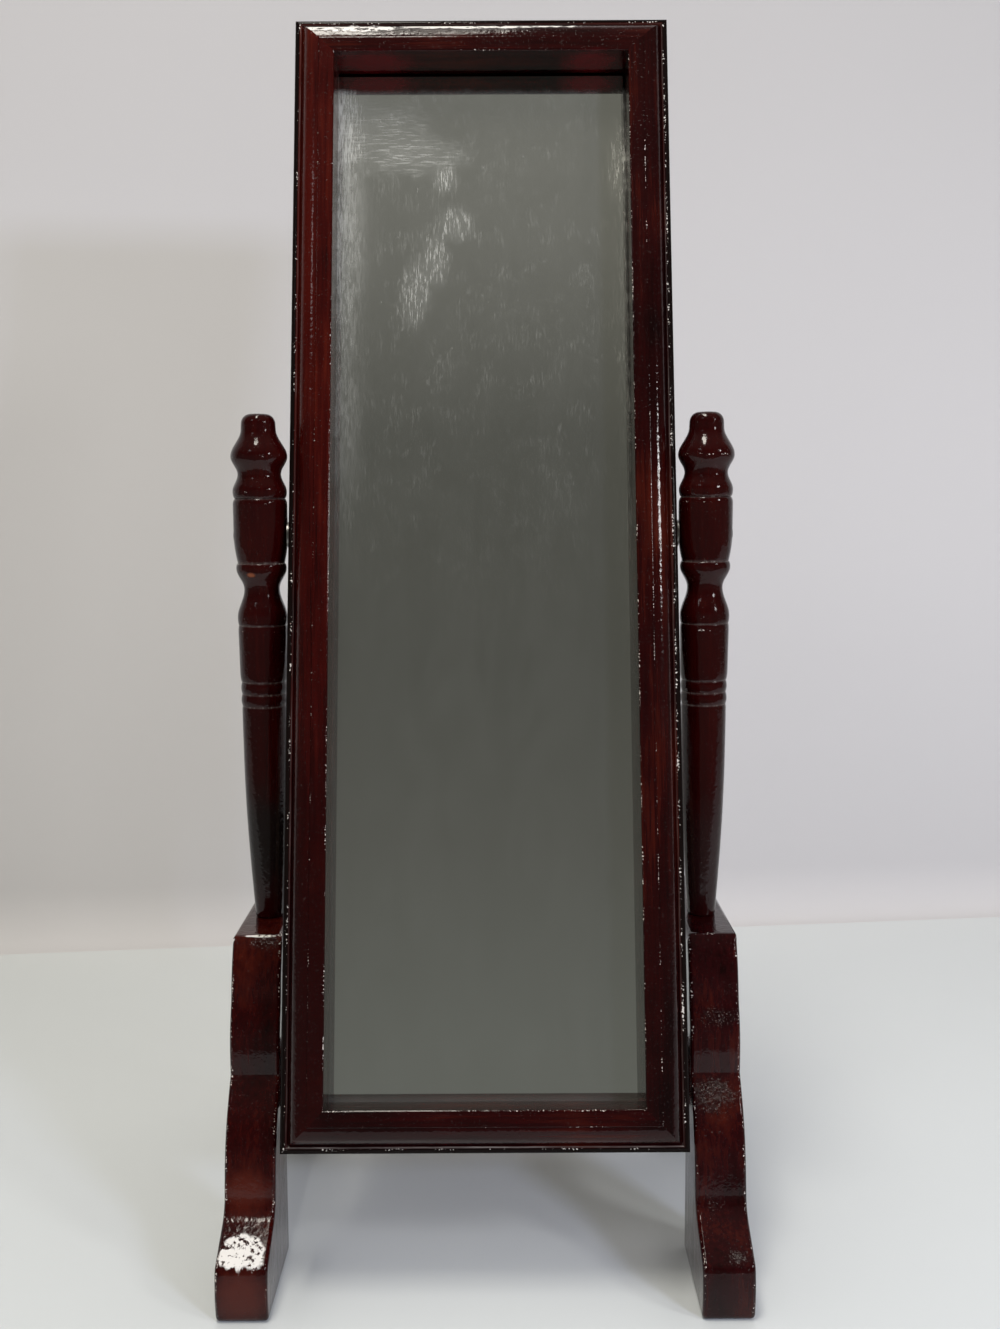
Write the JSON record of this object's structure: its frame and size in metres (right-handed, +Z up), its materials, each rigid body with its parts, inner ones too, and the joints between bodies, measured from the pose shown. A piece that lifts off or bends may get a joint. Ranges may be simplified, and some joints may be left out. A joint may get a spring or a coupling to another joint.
{
  "type": "tabletop cheval mirror",
  "caption": "Tall tabletop cheval mirror in a moulded mahogany frame that tilts between turned posts on profile-cut feet.",
  "frame": {"origin": "on the table, in the middle between the four toes", "axes": "+Z up; -Y is the front that the mirror faces; +X to the right of a person who looks into the mirror; the mirror is at its pictured lean of 13.6 degrees, top towards +Y"},
  "size_m": [0.2466, 0.239, 0.6114],
  "materials": {
    "lacquered_mahogany": "gloss",
    "mirror_glass": "polished, slightly dusty",
    "backing_board": "matt",
    "beech": "satin",
    "steel": "satin"
  },
  "bodies": {
    "stand": {"left_foot": "lacquered_mahogany", "right_foot": "lacquered_mahogany", "rear_stretcher": "lacquered_mahogany", "left_stretcher_dowels": "beech", "right_stretcher_dowels": "beech", "left_post": "lacquered_mahogany", "right_post": "lacquered_mahogany"},
    "mirror_frame": {"frame_top_rail": "lacquered_mahogany", "frame_bottom_rail": "lacquered_mahogany", "frame_left_stile": "lacquered_mahogany", "frame_right_stile": "lacquered_mahogany", "top_corner_nails": "steel", "bottom_corner_nails": "steel", "mirror_glass": "mirror_glass", "backing_board": "backing_board", "backing_pins": "steel", "left_pivot_screw": "steel", "right_pivot_screw": "steel", "left_pivot_washer": "steel", "right_pivot_washer": "steel"}
  },
  "joints": [
    {"name": "frame_tilt", "type": "hinge", "parent": "stand", "child": "mirror_frame", "pos_m": [0, -0.02, 0.3522], "axis": [1, 0, 0], "continuous": true}
  ]
}
